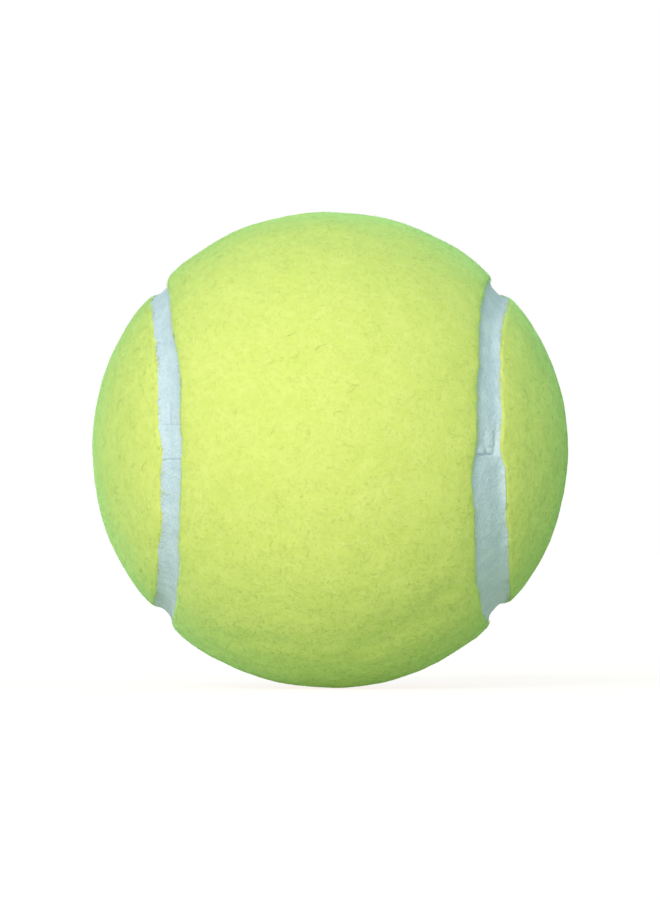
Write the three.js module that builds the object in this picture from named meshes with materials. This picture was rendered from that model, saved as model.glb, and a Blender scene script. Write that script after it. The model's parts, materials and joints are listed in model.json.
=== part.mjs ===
// A tennis cricket ball: a hollow rubber core covered with two felt panels, with a pale
// rubber seam in the groove between them.
//
// Millimetres, +Z up, origin at the centre of the ball. The seam is one closed line that
// crosses every face of the ball once and cuts the cover into two equal panels, each shaped
// like a figure of eight. The front panel's waist faces -Y and its lobes wrap over the top
// and under the bottom. The back panel is the same panel, turned half a turn about the
// diagonal between +X and +Z. The core's two halves meet on the level plane.

import * as THREE from "three";
import { mergeVertices } from "three/addons/utils/BufferGeometryUtils.js";

// Driving dimensions
const BALL_DIAMETER = 66;
const WAIST_SPAN = 43.6; // straight across a panel's waist, between the seam's middle lines
const SEAM_TAKE_UP = 0.7; // how far the seam is drawn in where it swings out past a waist
const FELT_THICKNESS = 2.6;
const FELT_LIP_RADIUS = 0.6; // the rounded edge of the felt along the groove
const BACKING_THICKNESS = 0.4;
const CORE_WALL = 6;
const CORE_RIM_BEVEL = 1.4; // the chamfer inside each rim, which takes the squeezed cement
const JOINT_THICKNESS = 0.4; // the cement between the two rims
const SEAM_WIDTH = 4.2; // the groove between the two panels
const SEAM_DROP = 0.25; // how far the seam's edges lie below the cover
const SEAM_HOLLOW = 0.6; // how far the seam's middle lies below its edges
const BOND_GAP = 0.3; // between curved pieces that are bonded to each other

// How finely the curved faces are cut
const PANEL_ROWS = 40; // from one tip of a panel to the other
const PANEL_COLUMNS = 10; // from one side of a panel to the other
const LIP_STEPS = 3;
const SEAM_STEPS = 112;
const SEAM_HOLLOW_STEPS = 6;
const CORE_STEPS = 48;
const CORE_ARC_STEPS = 10;

const BALL_RADIUS = BALL_DIAMETER / 2;
const FELT_SEAT = BALL_RADIUS - FELT_THICKNESS;
const BACKING_OUTER = FELT_SEAT - BOND_GAP;
const BACKING_SEAT = BACKING_OUTER - BACKING_THICKNESS;
const CORE_OUTER = BACKING_SEAT - BOND_GAP;
const CORE_INNER = CORE_OUTER - CORE_WALL;

const FELT = new THREE.MeshStandardMaterial({ color: 0xdef07d, roughness: 0.95, metalness: 0 });
const BACKING = new THREE.MeshStandardMaterial({ color: 0xcfc79a, roughness: 0.9, metalness: 0 });
const SEAM = new THREE.MeshStandardMaterial({ color: 0xc3dcdd, roughness: 0.6, metalness: 0 });
const CORE = new THREE.MeshStandardMaterial({ color: 0x6a6d6e, roughness: 0.8, metalness: 0 });
const CEMENT = new THREE.MeshStandardMaterial({ color: 0x3c3a36, roughness: 0.7, metalness: 0 });

// The seam's middle line on a sphere of radius 1, for an angle from 0 to a full turn. It is
// the curve a*cos(t) - b*cos(3t), -c*cos(2t), a*sin(t) + b*sin(3t). It stays on the sphere
// because a + b = 1 and c = 2 * sqrt(a * b), and a - b is half the waist's span.
const WAIST_SHARE = WAIST_SPAN / BALL_DIAMETER;
const SWING = (1 + WAIST_SHARE) / 2;
const CURL = (1 - WAIST_SHARE) / 2;
const DEPTH = 2 * Math.sqrt(SWING * CURL);

function seamPoint(angle) {
  return new THREE.Vector3(
    SWING * Math.cos(angle) - CURL * Math.cos(3 * angle),
    -DEPTH * Math.cos(2 * angle),
    SWING * Math.sin(angle) + CURL * Math.sin(3 * angle),
  );
}

function seamDirection(angle) {
  return new THREE.Vector3(
    -SWING * Math.sin(angle) + 3 * CURL * Math.sin(3 * angle),
    2 * DEPTH * Math.sin(2 * angle),
    SWING * Math.cos(angle) + 3 * CURL * Math.cos(3 * angle),
  ).normalize();
}

// A point beside the seam: side is measured along the ball's surface, towards the front
// panel, and height from the ball's centre. The seam is drawn in on both sides of each
// waist, which makes it run nearly straight there before it turns away round the ball.
function besideSeam(angle, side, height) {
  const outward = seamPoint(angle);
  const across = new THREE.Vector3().crossVectors(outward, seamDirection(angle));
  const drawnIn = SEAM_TAKE_UP * (Math.cos(2 * angle) - Math.cos(6 * angle));
  const turn = (side + drawnIn) / BALL_RADIUS;
  return outward.multiplyScalar(Math.cos(turn)).addScaledVector(across, Math.sin(turn))
    .multiplyScalar(height);
}

// Joins rings of points, each a closed loop of equal length, into quads. The rings run from
// the bottom of a wall to its top with the solid on their left.
function addWalls(triangles, rings) {
  for (let ring = 0; ring + 1 < rings.length; ring++) {
    const low = rings[ring];
    const high = rings[ring + 1];
    for (let i = 0; i < low.length; i++) {
      const next = (i + 1) % low.length;
      triangles.push([low[i], low[next], high[next]], [low[i], high[next], high[i]]);
    }
  }
}

// Covers the inside of a closed loop on the sphere with rows that run across it, from each
// point of its right side to the mirror point on its left side.
function addCover(triangles, loop, outside) {
  const half = loop.length / 2;
  const height = loop[0].length();
  const rows = [];
  for (let i = 0; i <= half; i++) {
    const right = loop[i];
    const reach = Math.asin(right.x / height);
    const middle = new THREE.Vector3(0, right.y, right.z).normalize();
    const row = [];
    for (let j = 0; j <= PANEL_COLUMNS; j++) {
      const turn = reach * (1 - 2 * j / PANEL_COLUMNS);
      row.push(new THREE.Vector3(
        Math.sin(turn),
        middle.y * Math.cos(turn),
        middle.z * Math.cos(turn),
      ).multiplyScalar(height));
    }
    row[0] = right;
    row[PANEL_COLUMNS] = loop[(loop.length - i) % loop.length];
    rows.push(row);
  }
  for (let i = 0; i < half; i++) {
    for (let j = 0; j < PANEL_COLUMNS; j++) {
      const [a, b] = [rows[i][j], rows[i][j + 1]];
      const [c, d] = [rows[i + 1][j + 1], rows[i + 1][j]];
      const quad = outside ? [[a, d, c], [a, c, b]] : [[a, c, d], [a, b, c]];
      triangles.push(...quad);
    }
  }
}

function solid(name, triangles, material) {
  const positions = triangles.flat().flatMap((point) => point.toArray());
  const geometry = new THREE.BufferGeometry();
  geometry.setAttribute("position", new THREE.Float32BufferAttribute(positions, 3));
  const mesh = new THREE.Mesh(withoutSlivers(mergeVertices(geometry, 1e-4)), material);
  mesh.geometry.computeVertexNormals();
  mesh.name = name;
  return mesh;
}

// A row that ends in a tip leaves triangles with two corners alike, which are dropped here.
function withoutSlivers(geometry) {
  const index = geometry.index.array;
  const kept = [];
  for (let i = 0; i < index.length; i += 3) {
    const [a, b, c] = index.slice(i, i + 3);
    if (a !== b && b !== c && c !== a) {
      kept.push(a, b, c);
    }
  }
  geometry.setIndex(kept);
  return geometry;
}

// A closed loop round the front panel, from its lower tip up its right side and down its
// left side.
function panelLoop(side, height) {
  const loop = [];
  for (let i = 0; i < 2 * PANEL_ROWS; i++) {
    const angle = (i / PANEL_ROWS - 0.5) * Math.PI;
    loop.push(besideSeam(angle, side, height));
  }
  return loop;
}

// A panel-shaped shell. The edge is a list of [side, height] pairs, from the seat at the
// groove's wall up to where the cover begins.
function panelShell(name, edge, material) {
  const loops = edge.map(([side, height]) => panelLoop(side, height));
  const triangles = [];
  addWalls(triangles, loops);
  addCover(triangles, loops[0], false);
  addCover(triangles, loops[loops.length - 1], true);
  return solid(name, triangles, material);
}

function feltPanel(name) {
  const wall = SEAM_WIDTH / 2;
  const edge = [[wall, FELT_SEAT]];
  for (let step = 0; step <= LIP_STEPS; step++) {
    const turn = (step / LIP_STEPS) * Math.PI / 2;
    edge.push([
      wall + FELT_LIP_RADIUS * (1 - Math.cos(turn)),
      BALL_RADIUS - FELT_LIP_RADIUS * (1 - Math.sin(turn)),
    ]);
  }
  return panelShell(name, edge, FELT);
}

function feltBacking(name) {
  const wall = SEAM_WIDTH / 2;
  const edge = [[wall, BACKING_SEAT], [wall, BACKING_OUTER]];
  return panelShell(name, edge, BACKING);
}

// The back panel is the front panel turned half a turn about this diagonal.
function turnToBack(mesh) {
  const diagonal = new THREE.Vector3(1, 0, 1).normalize();
  mesh.quaternion.setFromAxisAngle(diagonal, Math.PI);
  return mesh;
}

// The seam's section: flat on the core, square sides against the felt, and a hollow top.
function seamBand() {
  const halfWidth = SEAM_WIDTH / 2 - BOND_GAP;
  const edgeHeight = BALL_RADIUS - SEAM_DROP;
  const section = [[halfWidth, BACKING_SEAT]];
  for (let step = 0; step <= SEAM_HOLLOW_STEPS; step++) {
    const share = 1 - 2 * step / SEAM_HOLLOW_STEPS;
    section.push([halfWidth * share, edgeHeight - SEAM_HOLLOW * (1 - share * share)]);
  }
  section.push([-halfWidth, BACKING_SEAT]);
  const triangles = [];
  const rings = [];
  for (let step = 0; step <= SEAM_STEPS; step++) {
    const angle = (step % SEAM_STEPS) / SEAM_STEPS * 2 * Math.PI;
    rings.push(section.map(([side, height]) => besideSeam(angle, side, height)));
  }
  addWalls(triangles, rings);
  return solid("seam_band", triangles, SEAM);
}

function arc(radius, fromHeight, steps) {
  const points = [];
  const start = Math.asin(fromHeight / radius);
  for (let step = 0; step <= steps; step++) {
    const angle = start + (Math.PI / 2 - start) * step / steps;
    points.push(new THREE.Vector2(radius * Math.cos(angle), radius * Math.sin(angle)));
  }
  points[steps].x = 0;
  return points;
}

// One half of the core, rim down: a flat rim, a bevel inside it and a round wall.
function coreHalf(name) {
  const rim = JOINT_THICKNESS / 2;
  const outer = arc(CORE_OUTER, rim, CORE_ARC_STEPS);
  const inner = arc(CORE_INNER, rim + CORE_RIM_BEVEL, CORE_ARC_STEPS).reverse();
  const bevel = new THREE.Vector2(inner[inner.length - 1].x + CORE_RIM_BEVEL, rim);
  const geometry = new THREE.LatheGeometry([...inner, bevel, ...outer], CORE_STEPS);
  geometry.rotateX(Math.PI / 2);
  const mesh = new THREE.Mesh(geometry, CORE);
  mesh.name = name;
  return mesh;
}

// The cement between the rims, with the bead that is squeezed into the two bevels.
function jointCement() {
  const rim = JOINT_THICKNESS / 2;
  const rimOuter = Math.sqrt(CORE_OUTER ** 2 - rim ** 2);
  const innerHeight = rim + CORE_RIM_BEVEL;
  const rimInner = Math.sqrt(CORE_INNER ** 2 - innerHeight ** 2) + CORE_RIM_BEVEL;
  const beadHeight = innerHeight - 2 * BOND_GAP;
  const profile = [
    [rimOuter, -rim],
    [rimOuter, rim],
    [rimInner, rim],
    [rimInner - CORE_RIM_BEVEL, beadHeight],
    [rimInner - CORE_RIM_BEVEL - BOND_GAP, 0],
    [rimInner - CORE_RIM_BEVEL, -beadHeight],
    [rimInner, -rim],
    [rimOuter, -rim],
  ].map(([radius, height]) => new THREE.Vector2(radius, height));
  const geometry = new THREE.LatheGeometry(profile, CORE_STEPS);
  geometry.rotateX(Math.PI / 2);
  const mesh = new THREE.Mesh(geometry, CEMENT);
  mesh.name = "core_joint_cement";
  return mesh;
}

const upperHalf = coreHalf("core_half_upper");
const lowerHalf = coreHalf("core_half_lower");
lowerHalf.rotation.x = Math.PI;

const group = new THREE.Group();
group.add(upperHalf, lowerHalf, jointCement(), seamBand());
group.add(feltBacking("felt_backing_front"), turnToBack(feltBacking("felt_backing_back")));
group.add(feltPanel("felt_panel_front"), turnToBack(feltPanel("felt_panel_back")));

export default group;
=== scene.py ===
"""A ball for tennis-ball cricket: felt panels and a pale rubber seam on a hollow core.

Each of the two panels is shaped like a figure of eight, and one closed groove parts them.
Sizes are in metres. The front panel's waist faces -Y, towards the camera, and the moulding
line of the core and the seam lies near the level plane through the ball's centre.
"""

import json
import logging
import math
from collections.abc import Callable
from dataclasses import dataclass, fields
from enum import Enum
from functools import partial

import bmesh
import bpy
import numpy as np
from bpy.types import Material, NodeOutputs, NodeSocket, NodeTree, Object
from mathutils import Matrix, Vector, kdtree, noise

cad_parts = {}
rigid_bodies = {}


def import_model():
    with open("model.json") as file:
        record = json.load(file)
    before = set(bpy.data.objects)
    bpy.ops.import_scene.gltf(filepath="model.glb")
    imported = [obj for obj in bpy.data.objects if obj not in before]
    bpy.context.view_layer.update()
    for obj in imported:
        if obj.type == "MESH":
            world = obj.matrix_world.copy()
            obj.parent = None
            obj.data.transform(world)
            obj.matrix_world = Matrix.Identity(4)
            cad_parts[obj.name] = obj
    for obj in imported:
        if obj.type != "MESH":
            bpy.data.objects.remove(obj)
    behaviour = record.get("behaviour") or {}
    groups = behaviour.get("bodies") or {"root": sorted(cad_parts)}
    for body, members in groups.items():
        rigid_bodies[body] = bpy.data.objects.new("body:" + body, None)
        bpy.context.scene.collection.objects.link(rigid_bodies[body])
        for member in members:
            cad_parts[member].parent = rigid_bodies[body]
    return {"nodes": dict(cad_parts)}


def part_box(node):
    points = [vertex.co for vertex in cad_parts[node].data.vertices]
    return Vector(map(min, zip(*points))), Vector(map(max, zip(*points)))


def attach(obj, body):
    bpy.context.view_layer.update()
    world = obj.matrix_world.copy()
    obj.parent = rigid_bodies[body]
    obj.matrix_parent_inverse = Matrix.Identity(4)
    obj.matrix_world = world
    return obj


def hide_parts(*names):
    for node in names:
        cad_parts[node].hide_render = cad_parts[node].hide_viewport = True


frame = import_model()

log = logging.getLogger("ball")

MM = 0.001
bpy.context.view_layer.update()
BODY = "root"

# Radii that the CAD gives: the felt's face, the cloth under it and the core
BALL_RADIUS = -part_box("felt_panel_front")[0][1]
BACKING_FACE = -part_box("felt_backing_front")[0][1]
CORE_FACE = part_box("core_half_upper")[1][2]
BOND_GAP = 0.3 * MM
FELT_SEAT = BACKING_FACE + BOND_GAP
BACKING_SEAT = CORE_FACE + BOND_GAP
BAKE_MAP = "OFBake"
MAP_MARGIN = 0.01


class Side(Enum):
    """The two panels, by the way that their waists face."""

    FRONT = "front"
    BACK = "back"


def linear(hex_colour: str) -> tuple[float, float, float, float]:
    """Turns an sRGB hex colour into Blender's linear one.

    Args:
        hex_colour: six hex digits after a hash sign.

    Returns:
        Red, green, blue and a full alpha.
    """
    shares = [int(hex_colour[i : i + 2], 16) / 255 for i in (1, 3, 5)]
    return (*(s / 12.92 if s <= 0.04045 else ((s + 0.055) / 1.055) ** 2.4 for s in shares), 1.0)


def add_node(
    tree: NodeTree,
    kind: str,
    inputs: dict[str | int, object] | None = None,
    output: str | int = 0,
    **settings: object,
) -> NodeSocket | None:
    """Adds a node with its settings and links.

    Args:
        tree: the node tree that the node goes into.
        kind: Blender's name of the node's type.
        inputs: what each input socket gets, a value or another node's output.
        output: which of the node's outputs is wanted.
        settings: the node's own properties.

    Returns:
        That output, or nothing where the node has none.
    """
    node = tree.nodes.new(kind)
    for name, value in settings.items():
        setattr(node, name, value)
    for name, value in (inputs or {}).items():
        if isinstance(value, NodeSocket):
            tree.links.new(value, node.inputs[name])
        else:
            node.inputs[name].default_value = value
    return node.outputs[output] if len(node.outputs) else None


def new_tree(name: str, kinds: dict[str, str]) -> tuple[NodeTree, Callable, NodeOutputs]:
    """Makes a node tree that has named inputs and gives a mesh.

    Args:
        name: the tree's name.
        kinds: the kind of each input.

    Returns:
        The tree, what adds a node to it, and its inputs as the nodes see them.
    """
    tree = bpy.data.node_groups.new(name, "GeometryNodeTree")
    for socket, kind in kinds.items():
        tree.interface.new_socket(socket, in_out="INPUT", socket_type=f"NodeSocket{kind}")
    tree.interface.new_socket("Mesh", in_out="OUTPUT", socket_type="NodeSocketGeometry")
    add = partial(add_node, tree)
    return tree, add, add("NodeGroupInput").node.outputs


def new_object(
    name: str, vertices: np.ndarray, faces: list[tuple[int, ...]], edges: tuple = ()
) -> Object:
    """Makes a smooth mesh object at the origin.

    Args:
        name: the object's name.
        vertices: their places, one row each.
        faces: each face's corners, outwards by the right hand.
        edges: loose edges, for a mesh without faces.

    Returns:
        The linked object.
    """
    mesh = bpy.data.meshes.new(name)
    mesh.from_pydata(vertices.tolist(), list(edges), faces)
    mesh.shade_smooth()
    mesh.update()
    piece = bpy.data.objects.new(name, mesh)
    bpy.context.scene.collection.objects.link(piece)
    return piece


def store(piece: Object, name: str, values: np.ndarray, domain: str = "POINT") -> None:
    """Stores one number or one vector for each point or face of a piece's mesh.

    Args:
        piece: the mesh object.
        name: the attribute's name.
        values: one row for each point or face.
        domain: POINT or FACE.
    """
    kind = "INT" if values.dtype == int else "FLOAT" if values.ndim == 1 else "FLOAT_VECTOR"
    slot = "value" if values.ndim == 1 else "vector"
    held = piece.data.attributes.new(name, kind, domain)
    held.data.foreach_set(slot, values.ravel())


def map_up(share: float) -> float:
    """Gives how high on the map a place lies that is this far up the faces' own strip."""
    return MAP_MARGIN + (1 - 2 * MAP_MARGIN) * share


def lay_out(piece: Object, places: list[list[tuple[float, float]]]) -> None:
    """Gives a piece the map that its colours are baked on.

    Args:
        piece: the mesh object.
        places: each face's places on the map, corner by corner.
    """
    flat = np.array([place for face in places for place in face], dtype=np.float32)
    piece.data.uv_layers.new(name=BAKE_MAP).data.foreach_set("uv", flat.ravel())


def lumps(points: np.ndarray, size: float, seed: float) -> np.ndarray:
    """Gives soft random heights from about -1 to 1.

    Args:
        points: where they are read.
        size: the width of one lump.
        seed: shifts the pattern.

    Returns:
        One height for each point.
    """
    shift = Vector((seed, 2.0 * seed, -seed))
    return np.array([noise.noise(Vector(p) / size + shift) for p in points])


@dataclass(frozen=True)
class SeamLine:
    """The seam's middle line and its two edges.

    Angles run once round the seam. 0 and 180 degrees are the front panel's waist, right and
    left in the picture, and angles above 0 on the right lie higher.
    """

    waist_span: float = 44.4 * MM
    take_up: float = 0.7 * MM
    # How far the rubber reaches from the middle line, in millimetres, at angles in degrees. The
    # felt was cut and laid by machine but pressed by hand, so the groove wanders, and below the
    # moulding line on the right it is widest.
    front_reach: tuple[tuple[float, float], ...] = (
        (-45, 1.38), (-35, 2.63), (-27, 2.93), (-22, 3.23), (-15, 2.83), (-10, 2.88), (-5, 3.28),
        (-2.5, 3.13), (-0.8, 2.68), (0.8, 2.33), (5, 2.38), (11, 2.43), (15, 2.18), (20, 2.53),
        (28, 2.58), (37, 1.93), (45, 1.08), (60, 1.9), (90, 1.8), (120, 1.9), (135, 1.13),
        (143, 1.12), (157, 1.1), (168, 2.15), (174, 1.93), (179, 2.18), (195, 1.82), (201, 2.18),
        (208, 2.22), (217, 2.13), (225, 1.63), (240, 1.9), (270, 2), (300, 1.8),
    )
    back_reach: tuple[tuple[float, float], ...] = (
        (-45, 2.68), (-36, 2.53), (-27, 2.83), (-19, 3.23), (-13, 2.93), (-4, 2.83), (-2, 2.43),
        (-0.5, 1.73), (1, 1.88), (5, 2.28), (13, 1.88), (22, 1.43), (29, 1.63), (37, 2.28),
        (45, 2.63), (60, 1.9), (90, 2), (120, 1.9), (135, 2.33), (158, 2.28), (166, 2.08),
        (171, 2.28), (177, 2.03), (180.5, 1.28), (184.5, 1.73), (190, 1.68), (194, 1.23),
        (200, 1.78), (210, 1.38), (218, 1.53), (225, 1.83), (240, 2), (270, 1.9), (300, 2.1),
    )
    # Small wavers of the cut edge: how many round the ball, and how far in millimetres
    wavers: tuple[tuple[int, float], ...] = ((43, 0.03), (71, 0.035), (118, 0.03), (190, 0.02))
    # The reach is read at so many places in a degree, and softened over so many degrees
    parts: int = 4
    softening: float = 1.2
    softened_span: int = 4
    # What shifts the back edge's wavers against the front edge's
    back_phase: float = 2.1

    def point(self, angle: np.ndarray) -> np.ndarray:
        """Gives the plain line on a sphere of radius 1, before it is drawn in at the waists.

        Args:
            angle: places along the seam, in radians.

        Returns:
            Unit vectors from the ball's centre.
        """
        share = self.waist_span / (2 * BALL_RADIUS)
        swing, curl = (1 + share) / 2, (1 - share) / 2
        depth = 2 * math.sqrt(swing * curl)
        return np.stack(
            [
                swing * np.cos(angle) - curl * np.cos(3 * angle),
                -depth * np.cos(2 * angle),
                swing * np.sin(angle) + curl * np.sin(3 * angle),
            ],
            axis=-1,
        )

    def across(self, angle: np.ndarray) -> np.ndarray:
        """Gives the way over the ball's surface from the line to the front panel.

        Args:
            angle: places along the seam, in radians.

        Returns:
            Unit vectors.
        """
        step = 1e-4
        along = self.point(angle + step) - self.point(angle - step)
        return np.cross(self.point(angle), along / np.linalg.norm(along, axis=-1, keepdims=True))

    def drawn_in(self, angle: np.ndarray) -> np.ndarray:
        """Gives how far the line is moved towards the front panel as the felt is stretched."""
        return self.take_up * (np.cos(2 * angle) - np.cos(6 * angle))

    def beside(self, angle: np.ndarray, side: np.ndarray) -> np.ndarray:
        """Gives points beside the line.

        Args:
            angle: places along the seam, in radians.
            side: how far along the ball's surface, towards the front panel.

        Returns:
            Unit vectors from the ball's centre.
        """
        turn = ((side + self.drawn_in(angle)) / BALL_RADIUS)[..., None]
        return self.point(angle) * np.cos(turn) + self.across(angle) * np.sin(turn)

    def reach(self, angle: np.ndarray, side: Side) -> np.ndarray:
        """Gives how far the seam reaches from its middle line.

        Args:
            angle: places along the seam, in radians.
            side: the panel that it reaches towards.

        Returns:
            A distance over the ball's surface for each angle.
        """
        marks = np.array(self.front_reach if side is Side.FRONT else self.back_reach)
        fine = np.arange(360 * self.parts) / self.parts
        rough = np.interp(fine, np.mod(marks[:, 0], 360.0), marks[:, 1], period=360.0)
        span = self.softened_span * self.parts
        window = np.exp(-((np.arange(-span, span + 1) / (self.parts * self.softening)) ** 2))
        padded = np.concatenate([rough[-span:], rough, rough[:span]])
        soft = np.convolve(padded, window / window.sum(), mode="valid")
        phase = 0.0 if side is Side.FRONT else self.back_phase
        reach = np.interp(np.mod(np.degrees(angle), 360.0), fine, soft, period=360.0)
        for cycles, waver in self.wavers:
            reach = reach + waver * np.sin(cycles * angle + phase * cycles)
        return reach * MM


@dataclass(frozen=True)
class Finish:
    """A material and how its surface was made."""

    name: str

    def surface(self, add: Callable) -> NodeSocket:
        """Adds the nodes of the surface, in each kind of finish; here it only raises NotImplementedError.

        Args:
            add: adds a node to the material; not used here.

        Returns:
            The shader's output, in each kind of finish.
        """
        raise NotImplementedError

    def build(self) -> Material:
        """Makes the material.

        Returns:
            A material that bears the finish's name.
        """
        material = bpy.data.materials.new(self.name)
        material.use_nodes = True
        material.node_tree.nodes.clear()
        add = partial(add_node, material.node_tree)
        add("ShaderNodeOutputMaterial", {"Surface": self.surface(add)})
        return material


# Brushed fibres lie all ways: quite matt, with a soft yellow-green sheen towards the rim
FELT_GLOSS = {
    "Roughness": 1.0,
    "Specular IOR Level": 0.1,
    "Sheen Weight": 0.85,
    "Sheen Roughness": 0.5,
    "Sheen Tint": linear("#B8FFB4"),
}


@dataclass(frozen=True)
class FeltCloth(Finish):
    """Needled felt of wool and nylon fibres, dyed a fluorescent yellow-green.

    To the eye it is quite matt and mottled. This is the body of the cloth, which shows between the
    strands of the nap, a little deeper in colour than they are: painted shade, for it lies under them.
    """

    name: str = "needled felt"
    # A little deeper than the nap's tones: painted shade under the strands
    deep: str = "#E2E97A"
    mean: str = "#E8ED82"
    pale: str = "#EDF08C"
    blotch_size: float = 5.0 * MM
    clump_size: float = 1.2 * MM
    fibre_size: float = 0.28 * MM
    fibre_height: float = 0.06 * MM

    def surface(self, add: Callable) -> NodeSocket:
        """Adds the nodes of the mottled cloth.

        Args:
            add: adds a node to the material.

        Returns:
            The shader's output.
        """
        place = add("ShaderNodeTexCoord", output="Object")
        blotch, clump, fibre = (
            add(
                "ShaderNodeTexNoise",
                {"Vector": place, "Scale": 1 / size, "Detail": detail, "Roughness": 0.6},
            )
            for size, detail in ((self.blotch_size, 2), (self.clump_size, 3), (self.fibre_size, 2))
        )
        colour = linear(self.deep)
        for value, low, high, tone in (
            (blotch, 0.35, 0.68, self.mean),
            (clump, 0.45, 0.75, self.pale),
        ):
            share = add("ShaderNodeMapRange", {"Value": value, "From Min": low, "From Max": high})
            colour = add("ShaderNodeMix", {0: share, 6: colour, 7: linear(tone)}, 2, data_type="RGBA")
        height = add("ShaderNodeMath", {0: clump, 1: fibre}, operation="ADD")
        bump = add("ShaderNodeBump", {"Height": height, "Distance": self.fibre_height, "Strength": 0.5})
        return add("ShaderNodeBsdfPrincipled", {"Base Color": colour, "Normal": bump, **FELT_GLOSS})


@dataclass(frozen=True)
class FeltNap(Finish):
    """Loose ends of the same fibres, raised by carding.

    Each strand takes one tone, which the map holds across: a tone of the dye, and paler on the lips as
    painted light. It is deeper at its root, which the map holds upwards: painted shade near the cloth.
    Wool gives each strand a faint soft sheen.
    """

    name: str = "carded wool nap"
    deep: str = "#E4EA7D"
    mean: str = "#E9ED83"
    pale: str = "#EEF08C"
    # Painted light: the lips' strands grow paler towards this tone, as fine fibres over the pale rubber
    # pass light
    fringe: str = "#F4F7C4"
    # Painted shade: each strand is a little deeper towards its root, near the cloth
    root: str = "#E7EC81"
    root_share: float = 0.45
    # Where the mean and the pale tone lie, between the deepest at 0 and the lips' painted light at 1
    mean_at: float = 0.45
    pale_at: float = 0.8

    def surface(self, add: Callable) -> NodeSocket:
        """Adds the nodes of the strands.

        Args:
            add: adds a node to the material.

        Returns:
            The shader's output.
        """
        place = add("ShaderNodeUVMap", uv_map=BAKE_MAP)
        part = add("ShaderNodeSeparateXYZ", {0: place}).node.outputs
        tones = add("ShaderNodeValToRGB", {"Fac": part["X"]})
        ramp = tones.node.color_ramp
        ramp.elements[0].color = linear(self.deep)
        ramp.elements[1].color = linear(self.fringe)
        ramp.elements.new(self.mean_at).color = linear(self.mean)
        ramp.elements.new(self.pale_at).color = linear(self.pale)
        rise = add("ShaderNodeMapRange", {"Value": part["Y"], "From Max": self.root_share})
        colour = add("ShaderNodeMix", {0: rise, 6: linear(self.root), 7: tones}, 2, data_type="RGBA")
        return add("ShaderNodeBsdfPrincipled", {"Base Color": colour, **FELT_GLOSS})


@dataclass(frozen=True)
class BackingCotton(Finish):
    """Plain-woven cotton, soaked with rubber cement that has dried into it.

    To the eye it is a dull cream weave, darker where more cement went in, and darker between the threads,
    which is painted shade. Its threads really lie 0.3 mm apart, and are drawn 0.5 mm apart, so that they
    show.
    """

    name: str = "cemented cotton"
    stained: str = "#A99E70"
    pale: str = "#D6CEA4"
    # Painted shade between the threads
    gap: str = "#8F8459"
    thread_gap: float = 0.5 * MM
    thread_height: float = 0.12 * MM
    stain_size: float = 8.0 * MM

    def surface(self, add: Callable) -> NodeSocket:
        """Adds the nodes of the weave.

        Args:
            add: adds a node to the material.

        Returns:
            The shader's output.
        """
        cloth = add("ShaderNodeAttribute", output="Vector", attribute_name="cut")
        # A wave texture of scale 1 has ten waves in a length of pi
        waves = math.pi / (10 * self.thread_gap)
        warp, weft = (
            add(
                "ShaderNodeTexWave",
                {"Vector": cloth, "Scale": waves, "Distortion": 0.4},
                "Fac",
                bands_direction=axis,
            )
            for axis in "XY"
        )
        over = add("ShaderNodeTexChecker", {"Vector": cloth, "Scale": 1 / self.thread_gap}, "Fac")
        thread = add("ShaderNodeMix", {0: over, 2: warp, 3: weft}, data_type="FLOAT")
        stain = add(
            "ShaderNodeTexNoise",
            {"Vector": cloth, "Scale": 1 / self.stain_size, "Detail": 4, "Roughness": 0.65},
        )
        dry, depth = (
            add("ShaderNodeMapRange", {"Value": value, "From Min": low, "From Max": high})
            for value, low, high in ((stain, 0.4, 0.6), (thread, 0.1, 0.6))
        )
        colour = linear(self.pale)
        for share, tone in ((dry, self.stained), (depth, self.gap)):
            colour = add("ShaderNodeMix", {0: share, 6: linear(tone), 7: colour}, 2, data_type="RGBA")
        rough = add("ShaderNodeMapRange", {"Value": stain, "To Min": 0.55, "To Max": 0.95})
        bump = add("ShaderNodeBump", {"Height": thread, "Distance": self.thread_height, "Strength": 0.7})
        return add(
            "ShaderNodeBsdfPrincipled",
            {"Base Color": colour, "Roughness": rough, "Specular IOR Level": 0.3, "Normal": bump},
        )


@dataclass(frozen=True)
class Rubber(Finish):
    """Vulcanised rubber, a little cloudy, with the fine pits or marks of how it was made."""

    dull: str
    pale: str
    cloud_size: float
    mark_size: float
    mark_depth: float
    roughness: tuple[float, float]
    stretch: tuple[float, float, float] = (1.0, 1.0, 1.0)

    def surface(self, add: Callable) -> NodeSocket:
        """Adds the nodes of the clouds and marks.

        Args:
            add: adds a node to the material.

        Returns:
            The shader's output.
        """
        place = add("ShaderNodeTexCoord", output="Object")
        drawn = add("ShaderNodeMapping", {"Vector": place, "Scale": self.stretch})
        cloud, mark = (
            add(
                "ShaderNodeTexNoise",
                {"Vector": drawn, "Scale": 1 / size, "Detail": 3, "Roughness": 0.6},
            )
            for size in (self.cloud_size, self.mark_size)
        )
        mottle = add("ShaderNodeMix", {0: 0.45, 2: cloud, 3: mark}, data_type="FLOAT")
        share = add("ShaderNodeMapRange", {"Value": mottle, "From Min": 0.35, "From Max": 0.65})
        colour = add(
            "ShaderNodeMix",
            {0: share, 6: linear(self.dull), 7: linear(self.pale)},
            2,
            data_type="RGBA",
        )
        low, high = self.roughness
        rough = add("ShaderNodeMapRange", {"Value": mark, "To Min": low, "To Max": high})
        bump = add("ShaderNodeBump", {"Height": mark, "Distance": self.mark_depth, "Strength": 0.6})
        settings = {"Base Color": colour, "Roughness": rough, "Normal": bump}
        settings.update({"IOR": 1.52, "Specular IOR Level": 0.4})
        return add("ShaderNodeBsdfPrincipled", settings)


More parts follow.
